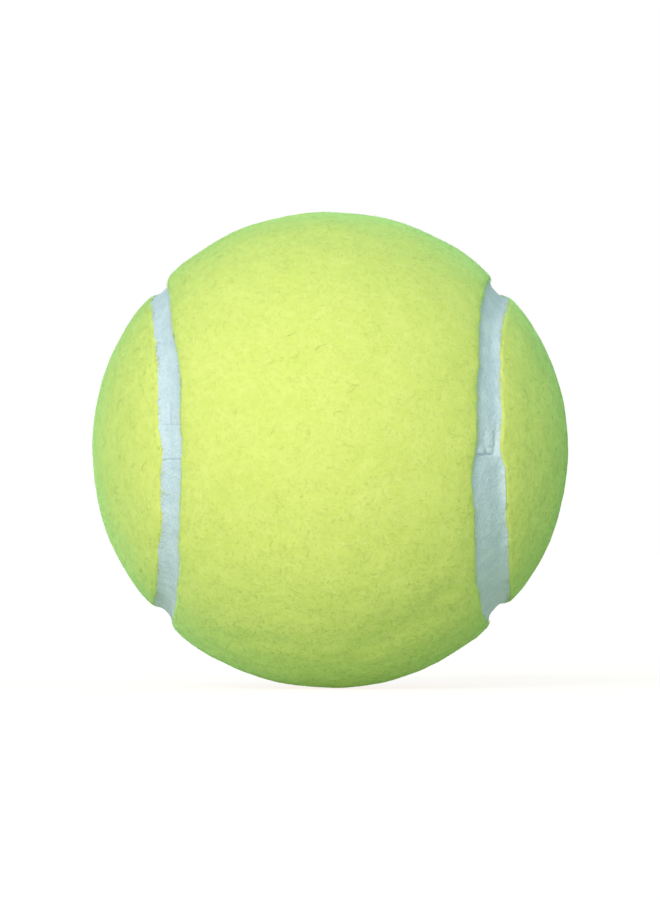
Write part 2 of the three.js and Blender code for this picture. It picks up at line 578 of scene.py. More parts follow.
# Dipped on as a paste and cured in the ball's mould: matt with a faint soft shine, finely pitted
SEAM_RUBBER = Rubber(
    name="cured seam rubber",
    dull="#C3D4E6",
    pale="#DCE9F7",
    cloud_size=3.0 * MM,
    mark_size=0.35 * MM,
    mark_depth=0.25 * MM,
    roughness=(0.5, 0.75),
)
# Filled natural rubber, ground on a wheel so that cement grips: matt grey, with rings of streaks
CORE_RUBBER = Rubber(
    name="ground core rubber",
    dull="#616567",
    pale="#777B7D",
    cloud_size=6.0 * MM,
    mark_size=0.7 * MM,
    mark_depth=0.12 * MM,
    roughness=(0.8, 0.98),
    stretch=(0.2, 0.2, 1.0),
)
# Rubber solution that cured under pressure: dark and smooth, with a satin shine
JOINT_CEMENT = Rubber(
    name="cured rubber cement",
    dull="#34322E",
    pale="#494640",
    cloud_size=4.0 * MM,
    mark_size=1.2 * MM,
    mark_depth=0.1 * MM,
    roughness=(0.3, 0.5),
)


@dataclass(frozen=True)
class Crease:
    """A line pressed into the front of the ball, in millimetres right of and above its centre."""

    start: tuple[float, float]
    end: tuple[float, float]
    width: float
    depth: float

    def shape(self, across: np.ndarray, level: np.ndarray) -> np.ndarray:
        """Gives how much the crease lowers places on the front.

        Args:
            across: how far right of the ball's centre they lie, in millimetres.
            level: how far above it.

        Returns:
            A depth for each place, in millimetres.
        """
        start, run = np.array(self.start), np.subtract(self.end, self.start)
        off = np.stack([across, level], axis=-1) - start
        share = np.clip(off @ run / (run @ run), 0.0, 1.0)
        far = np.linalg.norm(off - share[:, None] * run, axis=1)
        return self.depth * np.exp(-((far / self.width) ** 2))


@dataclass
class PanelShell:
    """A shell in a panel's outline, closed all round, from its seat up to its face.

    edge lists rings from the seat to the face: how far each lies in from the groove, and how far
    under the face.
    """

    side: Side
    line: SeamLine
    seat: float
    face: float
    edge: tuple[tuple[float, float], ...]
    rows: int
    columns: int
    under_columns: int
    patches: int = 5
    bare_rings: int = 2
    # How far each ring past the bare ones counts as lip
    lip_shares: tuple[float, ...] = ()
    # Where the map holds the face, the edge's rings and the underside, across
    face_map: tuple[float, float] = (0.01, 0.86)
    edge_map: tuple[float, float] = (0.88, 0.93)
    under_map: tuple[float, float] = (0.95, 0.99)

    def loop(self, inset: float) -> np.ndarray:
        """Gives the outline's unit vectors, moved in from the groove.

        Args:
            inset: how far.

        Returns:
            One row for each point, from the lower tip up the right side and down the left.
        """
        angle = (np.arange(2 * self.rows) / self.rows - 0.5) * math.pi
        seam_angle = angle if self.side is Side.FRONT else math.pi / 2 - angle
        return self.line.beside(angle, self.line.reach(seam_angle, self.side) + inset)

    def across(self, loop: np.ndarray, columns: int) -> np.ndarray:
        """Gives the points inside an outline, row by row.

        Args:
            loop: the outline.
            columns: how many faces there are across.

        Returns:
            Unit vectors.
        """
        right = loop[1 : self.rows]
        left = loop[: self.rows : -1]
        start, stop = np.arcsin(right[:, 0]), np.arcsin(left[:, 0])
        share = np.arange(1, columns) / columns
        turn = start[:, None] + (stop - start)[:, None] * share
        right_way = np.arctan2(right[:, 1], right[:, 2])
        left_way = np.arctan2(left[:, 1], left[:, 2])
        bend = np.mod(left_way - right_way + math.pi, 2 * math.pi) - math.pi
        way = right_way[:, None] + bend[:, None] * share
        return np.stack(
            [np.sin(turn), np.cos(turn) * np.sin(way), np.cos(turn) * np.cos(way)], axis=-1
        ).reshape(-1, 3)

    def placed(self, points: np.ndarray) -> np.ndarray:
        """Turns the back panel's points half a turn about the diagonal between +X and +Z.

        Args:
            points: places on a panel that faces the front.

        Returns:
            The places where this panel has them.
        """
        if self.side is Side.FRONT:
            return points
        return np.stack([points[:, 2], -points[:, 1], points[:, 0]], axis=-1)

    def relief(self, units: np.ndarray, inset: np.ndarray) -> np.ndarray:
        """Gives how far the face stands proud of an even ball.

        Args:
            units: unit vectors to the points.
            inset: how far each point lies in from the groove; not used by a plain shell.

        Returns:
            The height to add to each.
        """
        return np.zeros(len(units))

    def insets(self, units: np.ndarray, outline: np.ndarray) -> np.ndarray:
        """Gives how far points lie in from the groove.

        Args:
            units: unit vectors to the points.
            outline: unit vectors to the groove's edge.

        Returns:
            A distance for each point.
        """
        near = kdtree.KDTree(len(outline))
        for number, unit in enumerate(outline):
            near.insert(unit, number)
        near.balance()
        return np.array([near.find(unit)[2] for unit in units]) * self.face

    def cut(self, points: np.ndarray) -> np.ndarray:
        """Gives each point's place on the cloth before it was stretched over the ball.

        Args:
            points: places on the shell, before the back panel is turned.

        Returns:
            How far across and how far along the cloth each lies.
        """
        units = points / np.linalg.norm(points, axis=1, keepdims=True)
        along = np.mod(np.arctan2(units[:, 1], units[:, 2]) + 1.5 * math.pi, 2 * math.pi)
        flat = [np.arcsin(units[:, 0]), along - math.pi, np.zeros(len(units))]
        return self.face * np.stack(flat, axis=-1)

    def cover(
        self, first: int, ring: int, columns: int, strip: tuple[float, float]
    ) -> tuple[list[tuple[int, ...]], list[list[tuple[float, float]]], list[int]]:
        """Makes the faces inside an outline.

        Args:
            first: the number of the first point inside it.
            ring: the number of its own first point.
            columns: how many faces there are across.
            strip: where the map of these faces begins and ends, across.

        Returns:
            Each face's corners, its places on the map and its row.
        """
        count = 2 * self.rows
        low, high = strip

        def at(row: int, column: int) -> int:
            """Gives the number of the point at a row and a column.

            Args:
                row: how many faces it lies from the lower tip.
                column: how many faces it lies from the right side.

            Returns:
                A point's number.
            """
            if column == 0 or row == 0:
                return ring + row
            if column == columns or row == self.rows:
                return ring + (count - row) % count
            return first + (row - 1) * (columns - 1) + column - 1

        faces, places, rows = [], [], []
        for row in range(self.rows):
            for column in range(columns):
                corners = {}
                for down, over in ((0, 0), (1, 0), (1, 1), (0, 1)):
                    spot = (
                        low + (high - low) * (column + over) / columns,
                        map_up((row + down) / self.rows),
                    )
                    corners.setdefault(at(row + down, column + over), spot)
                if len(corners) > 2:
                    faces.append(tuple(corners))
                    places.append(list(corners.values()))
                    rows.append(row)
        return faces, places, rows

    def build(self, name: str) -> Object:
        """Makes the shell's mesh.

        Args:
            name: the piece's name.

        Returns:
            The shell, with a patch number stored on each face that grows a nap, and its
            points' shares of lip.
        """
        count = 2 * self.rows
        outline = self.loop(0.0)
        blocks = [outline * self.seat]
        for inset, depth in self.edge:
            units = self.loop(inset)
            rise = self.relief(self.placed(units), np.full(count, inset))
            blocks.append(units * (self.face - depth + rise)[:, None])
        faces, places, patch = [], [], []
        down = np.minimum(np.arange(count), count - 1 - np.arange(count))
        start, stop = self.edge_map
        for ring in range(len(self.edge)):
            low, high = ring * count, (ring + 1) * count
            patch += [-1] * count if ring < self.bare_rings else self.share_out(down)
            left, right = (start + (stop - start) * (ring + k) / len(self.edge) for k in (0, 1))
            for i in range(count):
                j = (i + 1) % count
                bottom, top = (map_up((i + k) / count) for k in (0, 1))
                faces.append((low + i, low + j, high + j, high + i))
                places.append([(left, bottom), (left, top), (right, top), (right, bottom)])
        outer = self.across(self.loop(self.edge[-1][0]), self.columns)
        under = self.across(outline, self.under_columns)
        first = len(blocks) * count
        rise = self.relief(self.placed(outer), self.insets(outer, outline))
        blocks.append(outer * (self.face + rise)[:, None])
        blocks.append(under * self.seat)
        made = self.cover(first, len(self.edge) * count, self.columns, self.face_map)
        faces += made[0]
        places += made[1]
        patch += self.share_out(np.array(made[2]))
        made = self.cover(first + len(outer), 0, self.under_columns, self.under_map)
        faces += [corners[::-1] for corners in made[0]]
        places += [spots[::-1] for spots in made[1]]
        patch += [-1] * len(made[0])
        points = np.concatenate(blocks)
        shell = new_object(name, self.placed(points), faces)
        lay_out(shell, places)
        store(shell, "cut", self.cut(points))
        store(shell, "patch", np.array(patch, dtype=int), "FACE")
        lip = np.zeros(len(points))
        for ring, share in enumerate(self.lip_shares, start=self.bare_rings):
            lip[ring * count : (ring + 1) * count] = share
        store(shell, "lip", lip)
        return shell

    def share_out(self, rows: np.ndarray) -> list[int]:
        """Parts the cover's rows into patches of nearly the same area.

        Args:
            rows: the row of each face.

        Returns:
            The patch of each face.
        """
        loop = self.loop(0.0)
        facing = np.roll(loop[::-1], 1, axis=0)
        widths = np.linalg.norm((loop - facing)[: self.rows], axis=1)
        share = np.cumsum(widths) / widths.sum()
        patch = np.minimum((share * self.patches).astype(int), self.patches - 1)
        return patch[rows].tolist()


@dataclass
class BackingShell(PanelShell):
    """The woven backing of one panel, which the cement bonds to the core."""

    seat: float = BACKING_SEAT
    face: float = BACKING_FACE
    edge: tuple[tuple[float, float], ...] = (
        (0.0 * MM, 0.3 * MM),
        (0.03 * MM, 0.08 * MM),
        (0.12 * MM, 0.0 * MM),
    )
    rows: int = 200
    columns: int = 60
    under_columns: int = 12


@dataclass
class FeltPanel(PanelShell):
    """One felt panel, with soft lips at the groove and a brushed, slightly uneven face."""

    seat: float = FELT_SEAT
    face: float = BALL_RADIUS
    edge: tuple[tuple[float, float], ...] = (
        (0.0 * MM, 1.6 * MM),
        (0.0 * MM, 0.95 * MM),
        (-0.02 * MM, 0.6 * MM),
        (0.0 * MM, 0.4 * MM),
        (0.06 * MM, 0.25 * MM),
        (0.15 * MM, 0.14 * MM),
        (0.28 * MM, 0.065 * MM),
        (0.44 * MM, 0.02 * MM),
        (0.62 * MM, 0.0 * MM),
    )
    # The seam hides the lowest rings, so nothing grows on them
    bare_rings: int = 3
    lip_shares: tuple[float, ...] = (1.0, 1.0, 1.0, 0.6, 0.3, 0.1)
    rows: int = 320
    columns: int = 104
    under_columns: int = 12
    # The cut edge is drawn down into the groove, the back panel's from further off, so the face
    # is crowned beside it: how far down, and over what width
    front_crown: tuple[float, float] = (0.25 * MM, 3.2 * MM)
    back_crown: tuple[float, float] = (0.36 * MM, 4.4 * MM)
    # Soft folds, where the flat cloth was drawn over the round core
    folds: tuple[Crease, ...] = (
        Crease((4.5, -27.1), (14.8, -22.5), 1.4, 0.24),
        Crease((12.5, -21.5), (17.4, -19.3), 1.0, 0.12),
        Crease((7.8, -17.3), (15.2, -14.6), 1.2, 0.1),
        Crease((-13.0, -26.2), (-6.5, -26.6), 1.1, 0.14),
    )
    # How high the brushed face's lumps are, how wide, and what shifts their pattern
    unevenness: tuple[tuple[float, float, float], ...] = (
        (0.14 * MM, 7.5 * MM, 3.0),
        (0.07 * MM, 3.2 * MM, 11.0),
        (0.04 * MM, 1.3 * MM, 23.0),
    )

    def relief(self, units: np.ndarray, inset: np.ndarray) -> np.ndarray:
        """Gives how far the brushed face stands proud of an even ball.

        Args:
            units: unit vectors to the points.
            inset: how far each point lies in from the groove.

        Returns:
            The height to add to each.
        """
        points = units * BALL_RADIUS
        across, level = points[:, 0] / MM, points[:, 2] / MM
        folded = np.sum([fold.shape(across, level) for fold in self.folds], axis=0)
        drop, width = self.front_crown if self.side is Side.FRONT else self.back_crown
        rise = np.zeros(len(units))
        for height, size, seed in self.unevenness:
            rise += height * lumps(points, size, seed)
        rise -= folded * MM * (points[:, 1] < 0)
        return rise - drop * np.clip(1.0 - inset / width, 0.0, 1.0) ** 2


@dataclass(frozen=True)
class Strand:
    """One fibre of the nap, which lies along +X from its root, with +Z away from the cloth.

    It turns by so many degrees on its way, more past its bend, and may waver besides. Real fibres
    are 0.02 to 0.03 mm thick. These are drawn thicker, so that they show.
    """

    name: str
    length: float
    thickness: float
    turn: float
    lift: float
    joints: int = 2
    wave: float = 0.0
    ripple: float = 9.0
    bend: float = 0.35
    arch: float = 2.4
    flatness: float = 0.35
    sink: float = 0.02 * MM
    sides: int = 3

    def path(self) -> np.ndarray:
        """Gives the strand's middle line.

        Returns:
            One point for each joint, and the two ends.
        """
        share = np.linspace(0.0, 1.0, self.joints + 2)
        middle = (share[1:] + share[:-1]) / 2
        bent = np.radians(self.turn) * (middle - self.bend)
        heading = bent + self.wave * np.sin(self.ripple * middle)
        step = self.length / (self.joints + 1)
        x = np.concatenate([[0.0], np.cumsum(np.cos(heading) * step)])
        y = np.concatenate([[0.0], np.cumsum(np.sin(heading) * step)])
        z = (self.lift + self.sink) * np.sin(self.arch * share) - self.sink
        return np.stack([x, y, z], axis=-1)

    def build(self) -> Object:
        """Makes the strand's mesh, pointed at both ends.

        Returns:
            The linked object, which holds how far along the strand each point lies.
        """
        path, sides = self.path(), self.sides
        last = len(path) - 1
        points, along = [path[0]], [0.0]
        for k in range(1, last):
            ahead = path[k + 1] - path[k - 1]
            ahead /= np.linalg.norm(ahead)
            beside = np.cross(ahead, (0.0, 0.0, 1.0))
            beside /= np.linalg.norm(beside)
            over = np.cross(beside, ahead)
            for corner in range(sides):
                turn = 2 * math.pi * corner / sides + math.pi / 2
                arm = math.cos(turn) * beside + math.sin(turn) * self.flatness * over
                points.append(path[k] + arm * self.thickness / 2)
                along.append(k / last)
        points.append(path[-1])
        along.append(1.0)
        tip = len(points) - 1
        faces = []
        for corner in range(sides):
            beyond = (corner + 1) % sides
            faces.append((0, 1 + corner, 1 + beyond))
            faces.append((tip, tip - sides + corner, tip - sides + beyond))
            for ring in range(self.joints - 1):
                low = 1 + sides * ring
                high = low + sides
                faces.append((low + corner, low + beyond, high + beyond, high + corner))
        strand = new_object(self.name, np.array(points), faces)
        solid = bmesh.new()
        solid.from_mesh(strand.data)
        bmesh.ops.recalc_face_normals(solid, faces=solid.faces)
        solid.to_mesh(strand.data)
        solid.free()
        strand.data.shade_smooth()
        store(strand, "along", np.array(along))
        return strand


@dataclass
class Nap:
    """The raised fibres of a felt panel, spread over one patch of it at a time.

    Its sizes are the node tree's inputs, under the same names.
    """

    density: float = 8.2e6  # strands to a square metre
    lip_crowd: float = 7.0
    lip_shortening: float = 0.4
    lip_slimming: float = 0.5
    shortest: float = 0.7
    longest: float = 1.35
    comb_size: float = 4.0 * MM
    comb: float = 4.0
    disorder: float = 1.0
    stray_share: float = 0.008
    blotch_size: float = 4.0 * MM
    tuft_size: float = 1.4 * MM
    lean: float = 1.3
    own_lean: float = 0.25
    own_shade: float = 0.2
    # A strand's tone, from 0 for the deepest to 1 for the palest: what its blotch, its own chance and the
    # lips add at most. What the lips add is painted light.
    blotch_tone: float = 0.45
    least_own_tone: float = 0.15
    most_own_tone: float = 0.3
    lip_tone: float = 0.5
    strands: tuple[Strand, ...] = (
        Strand("lying_a", 0.75 * MM, 0.06 * MM, -170.0, 0.015 * MM),
        Strand("lying_b", 0.75 * MM, 0.055 * MM, -95.0, 0.02 * MM),
        Strand("lying_c", 0.7 * MM, 0.06 * MM, -30.0, 0.015 * MM),
        Strand("lying_d", 0.7 * MM, 0.055 * MM, 40.0, 0.025 * MM),
        Strand("lying_e", 0.75 * MM, 0.06 * MM, 105.0, 0.015 * MM),
        Strand("lying_f", 0.75 * MM, 0.055 * MM, 175.0, 0.025 * MM),
        Strand("stray_a", 2.1 * MM, 0.045 * MM, 60.0, 0.02 * MM, 7, 0.5),
        Strand("stray_b", 1.8 * MM, 0.045 * MM, -70.0, 0.025 * MM, 7, -0.4),
        Strand("stray_c", 2.4 * MM, 0.05 * MM, 25.0, 0.02 * MM, 7, 0.3),
    )
    # How many seeds the tree draws from, one after the other, and the patches' first ones: the
    # first of all, and how far apart they are
    draws: int = 6
    first_seed: int = 3
    seed_gap: int = 10

    def sizes(self) -> dict[str, float]:
        """Gives the nap's sizes by the names of the tree's inputs.

        Returns:
            The value of each field that holds a plain size or share.
        """
        plain = (field.name for field in fields(self) if field.type is float)
        return {name.replace("_", " ").title(): getattr(self, name) for name in plain}

    def tree(self) -> NodeTree:
        """Builds the node tree that spreads the strands.

        Returns:
            A tree whose inputs are the cloth and the nap's sizes.
        """
        kinds = {"Cloth": "Geometry", "Strands": "Collection", "Finish": "Material"}
        kinds.update({"Patch": "Int", "Seed": "Int"}, **dict.fromkeys(self.sizes(), "Float"))
        tree, add, given = new_tree("nap", kinds)
        lying = sum(strand.name.startswith("lying") for strand in self.strands)
        seeds = [
            add("ShaderNodeMath", {0: given["Seed"], 1: float(k)}, operation="ADD")
            for k in range(self.draws)
        ]
        patch, lip = (
            add("GeometryNodeInputNamedAttribute", {"Name": name}, "Attribute", data_type=kind)
            for name, kind in (("patch", "INT"), ("lip", "FLOAT"))
        )
        chosen = add(
            "FunctionNodeCompare", {2: patch, 3: given["Patch"]}, data_type="INT", operation="EQUAL"
        )
        crowd = add("ShaderNodeMath", {0: lip, 1: given["Lip Crowd"], 2: 1.0}, operation="MULTIPLY_ADD")
        density = add("ShaderNodeMath", {0: given["Density"], 1: crowd}, operation="MULTIPLY")
        points = add(
            "GeometryNodeDistributePointsOnFaces",
            {"Mesh": given["Cloth"], "Selection": chosen, "Density": density, "Seed": seeds[0]},
        )
        place = add("GeometryNodeInputPosition")
        comb_scale, blotch_scale, tuft_scale = (
            add("ShaderNodeMath", {0: 1.0, 1: given[name]}, operation="DIVIDE")
            for name in ("Comb Size", "Blotch Size", "Tuft Size")
        )
        # Neighbours lie roughly one way, as carding leaves them, and the tufts lean a little
        ways = []
        for scale, detail, roughness, strength in (
            (comb_scale, 1.0, 0.5, given["Comb"]),
            (tuft_scale, 4.0, 0.75, given["Lean"]),
        ):
            way = add(
                "ShaderNodeTexNoise",
                {"Vector": place, "Scale": scale, "Detail": detail, "Roughness": roughness},
                "Color",
            )
            way = add("ShaderNodeVectorMath", {0: way, 1: (0.5, 0.5, 0.5)}, operation="SUBTRACT")
            ways.append(add("ShaderNodeVectorMath", {0: way, "Scale": strength}, operation="SCALE"))
        comb, lean = ways
        any_way = add(
            "FunctionNodeRandomValue",
            {0: (-1.0, -1.0, -1.0), 1: (1.0, 1.0, 1.0), "Seed": seeds[1]},
            data_type="FLOAT_VECTOR",
        )
        any_way = add("ShaderNodeVectorMath", {0: any_way, "Scale": given["Disorder"]}, operation="SCALE")
        way = add("ShaderNodeVectorMath", {0: comb, 1: any_way}, operation="ADD")
        # On the lips the strands lie level with the ball's face, so that they reach over the seam
        outward = add("ShaderNodeVectorMath", {0: place}, operation="NORMALIZE")
        normal = points.node.outputs["Normal"]
        upright = add("ShaderNodeMix", {0: lip, 4: normal, 5: outward}, 1, data_type="VECTOR")
        turn = add(
            "FunctionNodeAxesToRotation",
            {0: upright, 1: way},
            primary_axis="Z",
            secondary_axis="X",
        )
        length = add(
            "FunctionNodeRandomValue",
            {2: given["Shortest"], 3: given["Longest"], "Seed": seeds[2]},
            1,
            data_type="FLOAT",
        )
        scales = []
        for name in ("Lip Shortening", "Lip Slimming"):
            cut = add("ShaderNodeMath", {0: lip, 1: given[name]}, operation="MULTIPLY")
            share = add("ShaderNodeMath", {0: 1.0, 1: cut}, operation="SUBTRACT")
            scales.append(add("ShaderNodeMath", {0: length, 1: share}, operation="MULTIPLY"))
        size = add("ShaderNodeCombineXYZ", {"X": scales[0], "Y": scales[1], "Z": scales[1]})
        calm = add("ShaderNodeMath", {0: 1.0, 1: lip}, operation="SUBTRACT")
        strays = add("ShaderNodeMath", {0: given["Stray Share"], 1: calm}, operation="MULTIPLY")
        low, high, stray = (
            add("FunctionNodeRandomValue", values, index, data_type=kind)
            for values, index, kind in (
                ({4: 0, 5: lying - 1, "Seed": seeds[3]}, 2, "INT"),
                ({4: lying, 5: len(self.strands) - 1, "Seed": seeds[3]}, 2, "INT"),
                ({"Probability": strays, "Seed": seeds[4]}, 3, "BOOLEAN"),
            )
        )
        pick = add("GeometryNodeSwitch", {"Switch": stray, "False": low, "True": high}, input_type="INT")
        stock = add(
            "GeometryNodeCollectionInfo",
            {"Collection": given["Strands"], "Separate Children": True, "Reset Children": True},
        )
        spread = {"Points": points, "Rotation": turn, "Scale": size}
        spread.update({"Instance": stock, "Pick Instance": True, "Instance Index": pick})
        mesh = add("GeometryNodeInstanceOnPoints", spread)
        # Each strand's tone: partly its patch of dye, partly its own, and paler on the lips, which is
        # painted light
        blotch = add("ShaderNodeTexNoise", {"Vector": place, "Scale": blotch_scale, "Detail": 2.0})
        span = {"From Min": 0.32, "From Max": 0.68, "To Max": given["Blotch Tone"]}
        blotch = add("ShaderNodeMapRange", {"Value": blotch, **span})
        own = add(
            "FunctionNodeRandomValue",
            {2: given["Least Own Tone"], 3: given["Most Own Tone"], "Seed": seeds[5]},
            1,
            data_type="FLOAT",
        )
        tone = add("ShaderNodeMath", {0: blotch, 1: own}, operation="ADD")
        tone = add("ShaderNodeMath", {0: lip, 1: given["Lip Tone"], 2: tone}, operation="MULTIPLY_ADD")
        # Fine fibres pass light on to each other, so a strand is lit nearly as its tuft is
        own_lean = add(
            "ShaderNodeVectorMath", {0: any_way, "Scale": given["Own Lean"]}, operation="SCALE"
        )
        tuft = add("ShaderNodeVectorMath", {0: upright, 1: lean}, operation="ADD")
        tuft = add("ShaderNodeVectorMath", {0: tuft, 1: own_lean}, operation="ADD")
        for name, value, kind in (("tone", tone, "FLOAT"), ("tuft", tuft, "FLOAT_VECTOR")):
            mesh = add(
                "GeometryNodeStoreNamedAttribute",
                {"Geometry": mesh, "Name": name, "Value": value},
                data_type=kind,
                domain="INSTANCE",
            )
        mesh = add("GeometryNodeRealizeInstances", {"Geometry": mesh})
        tuft, across, upwards = (
            add("GeometryNodeInputNamedAttribute", {"Name": name}, "Attribute", data_type=kind)
            for name, kind in (("tuft", "FLOAT_VECTOR"), ("tone", "FLOAT"), ("along", "FLOAT"))
        )
        own_way = add("GeometryNodeInputNormal")
        own_way = add(
            "ShaderNodeVectorMath", {0: own_way, "Scale": given["Own Shade"]}, operation="SCALE"
        )
        facing = add("ShaderNodeVectorMath", {0: tuft, 1: own_way}, operation="ADD")
        facing = add("ShaderNodeVectorMath", {0: facing}, operation="NORMALIZE")
        mesh = add(
            "GeometryNodeSetMeshNormal",
            {"Mesh": mesh, "Custom Normal": facing},
            mode="FREE",
            domain="POINT",
        )
        spot = add("ShaderNodeCombineXYZ", {"X": across, "Y": upwards})
        mesh = add(
            "GeometryNodeStoreNamedAttribute",
            {"Geometry": mesh, "Name": BAKE_MAP, "Value": spot},
            data_type="FLOAT2",
            domain="CORNER",
        )
        mesh = add("GeometryNodeSetMaterial", {"Geometry": mesh, "Material": given["Finish"]})
        add("NodeGroupOutput", {"Mesh": mesh})
        return tree

    def build(self, panel: Object, patches: int, finish: Material) -> list[Object]:
        """Grows the nap on a felt panel.

        Args:
            panel: the felt panel's object.
            patches: how many patches it is parted into.
            finish: the nap's material.

        Returns:
            One object for each patch.
        """
        stock = bpy.data.collections.new("strands")
        bpy.context.scene.collection.children.link(stock)
        for strand in self.strands:
            made = strand.build()
            bpy.context.scene.collection.objects.unlink(made)
            stock.objects.link(made)
        tree = self.tree()
        sizes = {"Strands": stock, "Finish": finish, **self.sizes()}
        pieces = []
        for patch in range(patches):
            seed = self.first_seed + self.seed_gap * patch
            grown = grow(panel, tree, {**sizes, "Patch": patch, "Seed": seed})
            grown.name = f"{panel.name.replace('cover', 'nap')}_{patch + 1}"
            pieces.append(grown)
        for strand in list(stock.objects):
            bpy.data.objects.remove(strand)
        bpy.data.collections.remove(stock)
        bpy.data.node_groups.remove(tree)
        return pieces


def grow(base: Object, tree: NodeTree, sizes: dict[str, object]) -> Object:
    """Runs a node tree on a copy of an object and keeps the result as a plain mesh.

    Args:
        base: the object that the tree starts from.
        tree: the node tree.
        sizes: what each of its named inputs gets.

    Returns:
        A new linked object, without modifiers.
    """
    worked = bpy.data.objects.new("worked", base.data)
    bpy.context.scene.collection.objects.link(worked)
    modifier = worked.modifiers.new("grow", "NODES")
    modifier.node_group = tree
    for item in tree.interface.items_tree:
        if item.in_out == "INPUT" and item.name in sizes:
            modifier[item.identifier] = sizes[item.name]
    seen = worked.evaluated_get(bpy.context.evaluated_depsgraph_get())
    mesh = bpy.data.meshes.new_from_object(seen)
    bpy.data.objects.remove(worked)
    grown = bpy.data.objects.new("grown", mesh)
    bpy.context.scene.collection.objects.link(grown)
    return grown


@dataclass(frozen=True)
class Drip:
    """A rounded run of paste on the front of the ball, in millimetres right of and above centre."""

    across: float
    level: float
    half_width: float
    half_height: float
    tail: float
    height: float
    thinning: float = 0.8
    roundness: float = 0.6

    def shape(self, across: np.ndarray, level: np.ndarray) -> np.ndarray:
        """Gives how much the drip raises places on the front.

        Args:
            across: how far right of the ball's centre they lie, in millimetres.
            level: how far above it.

        Returns:
            A height for each place, in millimetres.
        """
        run = level - self.level
        reach = np.where(run > 0, self.tail, self.half_height)
        far = ((across - self.across) / self.half_width) ** 2 + (run / reach) ** 2
        thin = 1.0 - self.thinning * np.clip(run / self.tail, 0.0, 1.0)
        return self.height * thin * np.clip(1.0 - far, 0.0, 1.0) ** self.roundness


